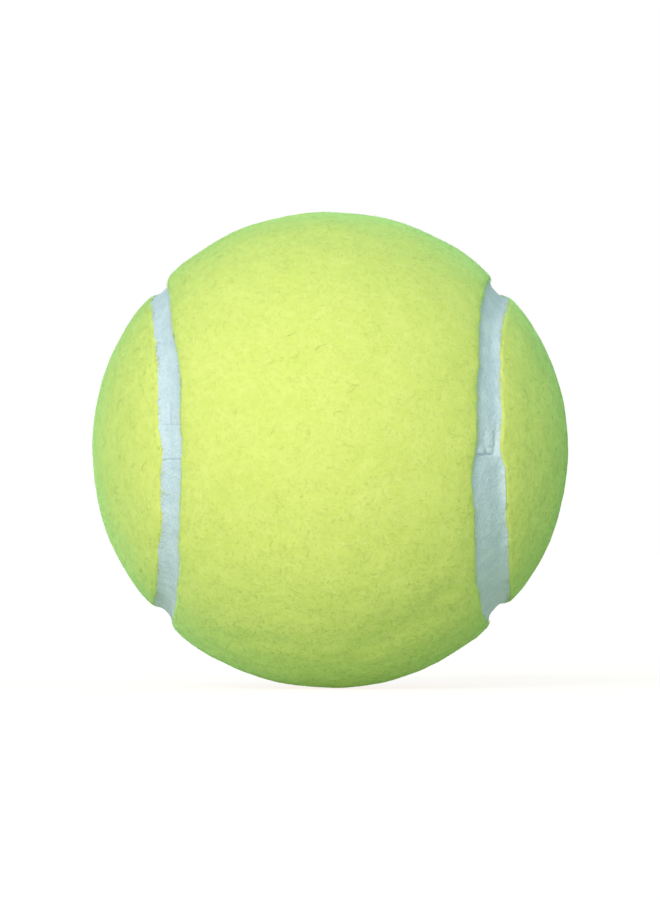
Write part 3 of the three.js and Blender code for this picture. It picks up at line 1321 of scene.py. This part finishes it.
@dataclass
class SeamBand:
    """The rubber between the panels, hollow on top, with the moulding line across it."""

    line: SeamLine
    steps: int = 1700
    top_columns: int = 44
    tuck: float = 0.05 * MM
    edge_drop: float = 0.46 * MM
    hollow: float = 0.5 * MM
    # How deep the hollow is at angles in degrees, as shares of that: most at the lobes' corners,
    # where the outline of the ball shows it
    hollow_shares: tuple[tuple[float, float], ...] = (
        (-50, 1.7), (-30, 1.2), (-10, 1.0), (20, 1.0), (35, 1.15), (48, 1.5), (70, 1.0), (125, 1.0),
        (137, 1.15), (160, 1.0), (200, 1.0), (225, 1.3), (250, 1.0), (290, 1.0),
    )
    # The hollow is round where the groove is narrow, and flat with steep sides where it is wide
    round_power: float = 2.3
    flat_power: float = 2.2 / MM
    narrow: float = 1.75 * MM
    grain: float = 0.15 * MM
    # Right: the upper half's paste has run down to the moulding line. Left: the line lies lower,
    # and a flap and a nick show above it.
    drips: tuple[Drip, ...] = (
        Drip(20.7, -0.15, 0.52, 0.46, 0.75, 0.24),
        Drip(21.85, -0.12, 0.42, 0.45, 0.6, 0.12),
        Drip(21.8, 0.85, 0.64, 0.5, 3.2, 0.16),
    )
    creases: tuple[Crease, ...] = (
        Crease((20.1, -0.68), (22.3, -0.55), 0.15, 0.22),
        Crease((22.6, -0.2), (23.0, 3.4), 0.45, 0.2),
        Crease((23.8, -2.4), (23.95, -7.9), 0.22, -0.18),
        Crease((-24.0, -1.45), (-20.5, -1.36), 0.15, 0.09),
        Crease((-24.0, -1.1), (-20.5, -1.0), 0.2, -0.06),
        Crease((-23.0, 3.35), (-20.4, 3.35), 0.18, 0.16),
        Crease((-22.0, 3.7), (-22.0, 6.3), 0.2, 0.2),
        Crease((-24.2, 14.95), (-22.7, 14.75), 0.2, 0.3),
    )
    # The steps lie closest together near the moulding line: how much closer, and within how many
    # degrees
    crowding: float = 5.0
    crowd_width: float = 3.5
    # The least power that the hollow has, and the widths of the grain's fine and broad lumps
    least_power: float = 1.8
    fine_grain: float = 1.1 * MM
    broad_grain: float = 3.6 * MM
    # Marks leave the foot alone, and creases the drips that are higher than this in millimetres
    foot_height: float = 0.5 * MM
    drip_edge: float = 0.02
    # The map holds the band in strips side by side, each with a gap beside it
    strips: int = 8
    strip_gap: float = 0.03

    def angles(self) -> np.ndarray:
        """Gives where the steps lie along the seam.

        Returns:
            An angle for each step, in radians.
        """
        count = 14400
        fine = np.arange(count + 1) / count * 2 * math.pi
        off = np.mod(np.degrees(fine) + 90.0, 180.0) - 90.0
        share = np.cumsum(1.0 + self.crowding * np.exp(-((off / self.crowd_width) ** 2)))
        share = (share - share[0]) / (share[-1] - share[0])
        return np.interp(np.arange(self.steps) / self.steps, share, fine)

    def path(self) -> Object:
        """Makes the closed line that the band follows.

        Returns:
            A loop of edges that holds, at each point, the way out, the way across, how far the
            band reaches to either side and how deep its hollow is.
        """
        angle = self.angles()
        outward = self.line.beside(angle, np.zeros(self.steps))
        middle = self.line.point(angle)
        turn = (self.line.drawn_in(angle) / BALL_RADIUS)[:, None]
        across = self.line.across(angle) * np.cos(turn) - middle * np.sin(turn)
        edges = tuple((i, (i + 1) % self.steps) for i in range(self.steps))
        path = new_object("seam_path", outward * BALL_RADIUS, [], edges)
        store(path, "outward", outward)
        store(path, "across", across)
        store(path, "front_reach", self.line.reach(angle, Side.FRONT) + self.tuck)
        store(path, "back_reach", self.line.reach(angle, Side.BACK) + self.tuck)
        marks = np.mod(np.array(self.hollow_shares), 360.0)
        store(path, "depth", np.interp(np.degrees(angle), *marks.T, period=360.0))
        return path

    def section(self) -> Object:
        """Makes the band's section: its top from the front panel to the back one, and its foot.

        Returns:
            A loop of edges that holds how far to the side each point lies, and which is foot.
        """
        turn = np.arange(self.top_columns + 1) / self.top_columns * math.pi
        share = np.concatenate([np.cos(turn), [-1.0, 1.0]])
        foot = np.concatenate([np.zeros(len(turn)), [1.0, 1.0]])
        count = len(share)
        edges = tuple((i, (i + 1) % count) for i in range(count))
        places = np.stack([share, -foot, np.zeros(count)], axis=-1) * MM
        section = new_object("seam_section", places, [], edges)
        store(section, "share", share)
        store(section, "foot", foot)
        return section

    def sizes(self) -> dict[str, float]:
        """Gives the band's sizes by the names of the tree's inputs.

        Returns:
            A size or a power for each.
        """
        return {
            "Top Radius": BALL_RADIUS - self.edge_drop,
            "Foot Radius": BACKING_SEAT,
            "Hollow": self.hollow,
            "Round Power": self.round_power,
            "Flat Power": self.flat_power,
            "Least Power": self.least_power,
            "Narrow": self.narrow,
            "Grain": self.grain,
            "Fine Grain": self.fine_grain,
            "Broad Grain": self.broad_grain,
        }

    def tree(self) -> NodeTree:
        """Builds the node tree that draws the section along the path.

        Returns:
            A tree whose inputs are the path, the section and the band's sizes.
        """
        kinds = {"Path": "Geometry", "Section": "Object", "Finish": "Material"}
        tree, add, given = new_tree("seam", {**kinds, **dict.fromkeys(self.sizes(), "Float")})
        rail = add("GeometryNodeMeshToCurve", {"Mesh": given["Path"]})
        section = add("GeometryNodeObjectInfo", {"Object": given["Section"]}, "Geometry")
        profile = add("GeometryNodeMeshToCurve", {"Mesh": section})
        band = add("GeometryNodeCurveToMesh", {"Curve": rail, "Profile Curve": profile})
        share, foot, depth, back, front, outward, across = (
            add("GeometryNodeInputNamedAttribute", {"Name": name}, "Attribute", data_type=kind)
            for name, kind in (
                ("share", "FLOAT"),
                ("foot", "FLOAT"),
                ("depth", "FLOAT"),
                ("back_reach", "FLOAT"),
                ("front_reach", "FLOAT"),
                ("outward", "FLOAT_VECTOR"),
                ("across", "FLOAT_VECTOR"),
            )
        )
        ahead = add("ShaderNodeMath", {0: share, 1: 0.0}, operation="GREATER_THAN")
        reach = add(
            "GeometryNodeSwitch",
            {"Switch": ahead, "False": back, "True": front},
            input_type="FLOAT",
        )
        side = add("ShaderNodeMath", {0: share, 1: reach}, operation="MULTIPLY")
        turn = add("ShaderNodeMath", {0: side, 1: given["Top Radius"]}, operation="DIVIDE")
        parts = []
        for axis, wave in ((outward, "COSINE"), (across, "SINE")):
            part = add("ShaderNodeMath", {0: turn}, operation=wave)
            parts.append(add("ShaderNodeVectorMath", {0: axis, "Scale": part}, operation="SCALE"))
        way = add("ShaderNodeVectorMath", dict(enumerate(parts)), operation="ADD")
        # The wider the groove, the flatter the hollow and the steeper its sides
        spare = add("ShaderNodeMath", {0: reach, 1: given["Narrow"]}, operation="SUBTRACT")
        power = add(
            "ShaderNodeMath",
            {0: spare, 1: given["Flat Power"], 2: given["Round Power"]},
            operation="MULTIPLY_ADD",
        )
        power = add("ShaderNodeMath", {0: power, 1: given["Least Power"]}, operation="MAXIMUM")
        bowl = add("ShaderNodeMath", {0: share}, operation="ABSOLUTE")
        bowl = add("ShaderNodeMath", {0: bowl, 1: power}, operation="POWER")
        bowl = add("ShaderNodeMath", {0: 1.0, 1: bowl}, operation="SUBTRACT")
        depth = add("ShaderNodeMath", {0: given["Hollow"], 1: depth}, operation="MULTIPLY")
        dip = add("ShaderNodeMath", {0: bowl, 1: depth}, operation="MULTIPLY")
        level = add("ShaderNodeMath", {0: given["Top Radius"], 1: dip}, operation="SUBTRACT")
        spot = add("ShaderNodeVectorMath", {0: way, "Scale": given["Top Radius"]}, operation="SCALE")
        for name in ("Fine Grain", "Broad Grain"):
            scale = add("ShaderNodeMath", {0: 1.0, 1: given[name]}, operation="DIVIDE")
            rough = add("ShaderNodeTexNoise", {"Vector": spot, "Scale": scale, "Detail": 2.0})
            rough = add("ShaderNodeMath", {0: rough, 1: 0.5}, operation="SUBTRACT")
            level = add(
                "ShaderNodeMath", {0: rough, 1: given["Grain"], 2: level}, operation="MULTIPLY_ADD"
            )
        height = add("ShaderNodeMix", {0: foot, 2: level, 3: given["Foot Radius"]}, data_type="FLOAT")
        place = add("ShaderNodeVectorMath", {0: way, "Scale": height}, operation="SCALE")
        mesh = add("GeometryNodeSetPosition", {"Geometry": band, "Position": place})
        mesh = add("GeometryNodeRealizeInstances", {"Geometry": mesh})
        mesh = add("GeometryNodeSetMaterial", {"Geometry": mesh, "Material": given["Finish"]})
        add("NodeGroupOutput", {"Mesh": mesh})
        return tree

    def marks(self, points: np.ndarray) -> np.ndarray:
        """Gives what drips and creases add to the seam's height.

        Args:
            points: places on the seam.

        Returns:
            The height to add.
        """
        high = np.linalg.norm(points, axis=1) > CORE_FACE + self.foot_height
        near = (points[:, 1] < 0) & high
        across, level = points[near, 0] / MM, points[near, 2] / MM
        raised = np.max([drip.shape(across, level) for drip in self.drips], axis=0)
        sunk = np.sum([crease.shape(across, level) for crease in self.creases], axis=0)
        sunk = np.where(raised > self.drip_edge, np.minimum(sunk, 0.0), sunk)
        height = np.zeros(len(points))
        height[near] = (raised - sunk) * MM
        return height

    def lay_strips(self, band: Object, across: int) -> None:
        """Lays the band's faces out on the map, in strips side by side.

        Args:
            band: the seam's object.
            across: how many points there are across it.
        """
        spots = []
        for face in band.data.polygons:
            ends = [divmod(number, across) for number in face.vertices]
            first_step = min(step for step, _ in ends)
            first_column = min(column for _, column in ends)
            wraps_along = max(step for step, _ in ends) - first_step > 1
            wraps_across = max(column for _, column in ends) - first_column > 1
            start = self.steps - 1 if wraps_along else first_step
            strip = start * self.strips // self.steps
            spot = []
            for step, column in ends:
                along = self.steps if wraps_along and step == 0 else step
                over = across if wraps_across and column == 0 else column
                right = self.strip_gap + (1 - 2 * self.strip_gap) * over / across
                up = along * self.strips / self.steps - strip
                spot.append(((strip + right) / self.strips, map_up(up)))
            spots.append(spot)
        lay_out(band, spots)

    def build(self, finish: Material) -> Object:
        """Makes the seam's mesh.

        Args:
            finish: the rubber's material.

        Returns:
            The finished piece.
        """
        path, section, tree = self.path(), self.section(), self.tree()
        band = grow(path, tree, {"Section": section, "Finish": finish, **self.sizes()})
        band.name = "seam_rubber"
        count = len(band.data.vertices)
        places = np.empty(3 * count)
        band.data.vertices.foreach_get("co", places)
        points = places.reshape(-1, 3)
        out = points / np.linalg.norm(points, axis=1, keepdims=True)
        points = points + out * self.marks(points)[:, None]
        band.data.vertices.foreach_set("co", points.ravel())
        self.lay_strips(band, count // self.steps)
        band.data.shade_smooth()
        for used in (path, section):
            bpy.data.objects.remove(used)
        bpy.data.node_groups.remove(tree)
        return band


@dataclass(frozen=True)
class Lamp:
    """A wide soft box, far enough away to light the whole ball alike."""

    name: str
    source: tuple[float, float, float]
    strength: float
    spread: float
    colour: str

    def build(self) -> None:
        """Hangs the lamp, turned to the ball."""
        light = bpy.data.lights.new(self.name, "SUN")
        light.energy = self.strength
        light.angle = math.radians(self.spread)
        light.color = linear(self.colour)[:3]
        lamp = bpy.data.objects.new(self.name, light)
        lamp.rotation_euler = Vector(self.source).to_track_quat("Z", "Y").to_euler()
        bpy.context.scene.collection.objects.link(lamp)


def camera_sees(add: Callable) -> NodeSocket:
    """Tells what the camera sees, straight or in a gloss or glass, from what lights the ball.

    Args:
        add: adds a node to the material or the world.

    Returns:
        1 for what is seen, and 0 for light.
    """
    rays = add("ShaderNodeLightPath").node.outputs
    seen = rays["Is Camera Ray"]
    for name in ("Is Glossy Ray", "Is Transmission Ray"):
        seen = add("ShaderNodeMath", {0: seen, 1: rays[name]}, operation="MAXIMUM")
    return seen


@dataclass(frozen=True)
class Paper(Finish):
    """Matt paper, white to the eye but for the ball's shadow. Though it is no lamp, it glows faintly
    yellow-green on the ball: painted light, which stands for the ball's own light thrown back from the
    paper.
    """

    name: str = "white paper"
    matt: str = "#8B9E95"
    # Painted light: the paper's glow on the ball
    glow: tuple[str, float] = ("#E6F5BC", 0.25)
    white: tuple[str, float] = ("#FFF3F7", 0.89)

    def surface(self, add: Callable) -> NodeSocket:
        """Adds the nodes of the paper.

        Args:
            add: adds a node to the material.

        Returns:
            The shader's output.
        """
        matt = add("ShaderNodeBsdfDiffuse", {"Color": linear(self.matt)})
        glow, white = (
            add("ShaderNodeEmission", {"Color": linear(colour), "Strength": strength})
            for colour, strength in (self.glow, self.white)
        )
        lit = add("ShaderNodeMixShader", {0: camera_sees(add), 1: glow, 2: white})
        return add("ShaderNodeAddShader", {0: matt, 1: lit})


@dataclass(frozen=True)
class Studio:
    """A pale floor, soft lamps and a long lens."""

    camera_distance: float = 1.6
    sensor_height: float = 36.0
    frame_height_px: float = 900.0
    ball_radius_px: float = 237.7
    # How near and how far the camera sees
    sight: tuple[float, float] = (0.05, 50.0)
    floor_size: float = 4.0
    floor_gap: float = 0.1 * MM
    lamps: tuple[Lamp, ...] = (
        Lamp("key", (-0.3, -0.9, 0.37), 2.04, 40.0, "#FFF8FA"),
        Lamp("fill", (0.45, -0.88, 0.08), 0.39, 60.0, "#FFF8F0"),
        Lamp("side", (-0.95, -0.3, 0.05), 0.39, 60.0, "#FFF8F0"),
    )
    air_colour: str = "#CDFFE4"
    air_strength: float = 0.45

    def camera(self) -> None:
        """Sets the camera level with the ball, in front of it."""
        lens = bpy.data.cameras.new("camera")
        lens.sensor_fit = "VERTICAL"
        lens.sensor_height = self.sensor_height
        spread = BALL_RADIUS / math.sqrt(self.camera_distance**2 - BALL_RADIUS**2)
        lens.lens = self.ball_radius_px * self.sensor_height / (self.frame_height_px * spread)
        lens.clip_start, lens.clip_end = self.sight
        camera = bpy.data.objects.new("camera", lens)
        camera.location = (0.0, -self.camera_distance, 0.0)
        camera.rotation_euler = (math.pi / 2, 0.0, 0.0)
        bpy.context.scene.collection.objects.link(camera)
        bpy.context.scene.camera = camera

    def floor(self) -> None:
        """Lays the floor that the ball stands on."""
        half = self.floor_size / 2
        corners = np.array([(-half, -half), (half, -half), (half, half), (-half, half)])
        level = np.full(len(corners), -BALL_RADIUS - self.floor_gap)
        floor = new_object("floor", np.column_stack([corners, level]), [(0, 1, 2, 3)])
        floor.data.materials.append(Paper().build())

    def air(self) -> None:
        """Fills the room with soft light and makes its far walls white to the eye."""
        world = bpy.data.worlds.new("room")
        world.use_nodes = True
        world.node_tree.nodes.clear()
        add = partial(add_node, world.node_tree)
        soft, white = (
            add("ShaderNodeBackground", {"Color": colour, "Strength": strength})
            for colour, strength in (
                (linear(self.air_colour), self.air_strength),
                (linear("#FFFFFF"), 1.0),
            )
        )
        shader = add("ShaderNodeMixShader", {0: camera_sees(add), 1: soft, 2: white})
        add("ShaderNodeOutputWorld", {"Surface": shader})
        bpy.context.scene.world = world

    def build(self) -> None:
        """Sets up the whole studio."""
        self.camera()
        self.floor()
        for lamp in self.lamps:
            lamp.build()
        self.air()
        bpy.context.scene.view_settings.view_transform = "Standard"


def hand_over(piece: Object, node: str) -> None:
    """Lets a finished piece stand for a CAD node, and reports it.

    Args:
        piece: the finished piece.
        node: the CAD node that it stands for.
    """
    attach(piece, BODY)
    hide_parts(node)
    triangles = sum(len(face.vertices) - 2 for face in piece.data.polygons)
    log.info("%s: %d triangles", piece.name, triangles)


@dataclass
class Core:
    """The hollow rubber ball inside, of two halves and the cement between, in its CAD shapes."""

    finishes: tuple[tuple[Rubber, tuple[str, ...]], ...] = (
        (CORE_RUBBER, ("core_half_upper", "core_half_lower")),
        (JOINT_CEMENT, ("core_joint_cement",)),
    )

    def dress(self) -> None:
        """Gives the core's CAD nodes their finishes."""
        for finish, nodes in self.finishes:
            material = finish.build()
            for node in nodes:
                for slot in frame["nodes"][node].material_slots:
                    slot.material = material
                log.info("%s: %s", node, material.name)


@dataclass
class Cover:
    """The two felt panels with their nap, and the backing under each.

    A panel is cut from flat felt as a figure of eight, and stretched over the core.
    """

    line: SeamLine
    flat_size: tuple[float, float] = (53 * MM, 160 * MM)
    flat_area: float = 6200 * MM**2

    def build(self) -> None:
        """Makes the cover's pieces."""
        cotton, felt, carded = BackingCotton().build(), FeltCloth().build(), FeltNap().build()
        for side in Side:
            backing = BackingShell(side, self.line).build(f"felt_backing_cloth_{side.value}")
            backing.data.materials.append(cotton)
            hand_over(backing, f"felt_backing_{side.value}")
            shape = FeltPanel(side, self.line)
            panel = shape.build(f"felt_cover_{side.value}")
            panel.data.materials.append(felt)
            nap = Nap().build(panel, shape.patches, carded)
            for piece in (panel, *nap):
                hand_over(piece, f"felt_panel_{side.value}")


def main() -> None:
    """Builds the studio and dresses the ball."""
    logging.basicConfig(level=logging.INFO, format="%(name)s: %(message)s")
    Studio().build()
    Core().dress()
    line = SeamLine()
    Cover(line).build()
    seam = SeamBand(line).build(SEAM_RUBBER.build())
    hand_over(seam, "seam_band")


if __name__ == "__main__":
    main()
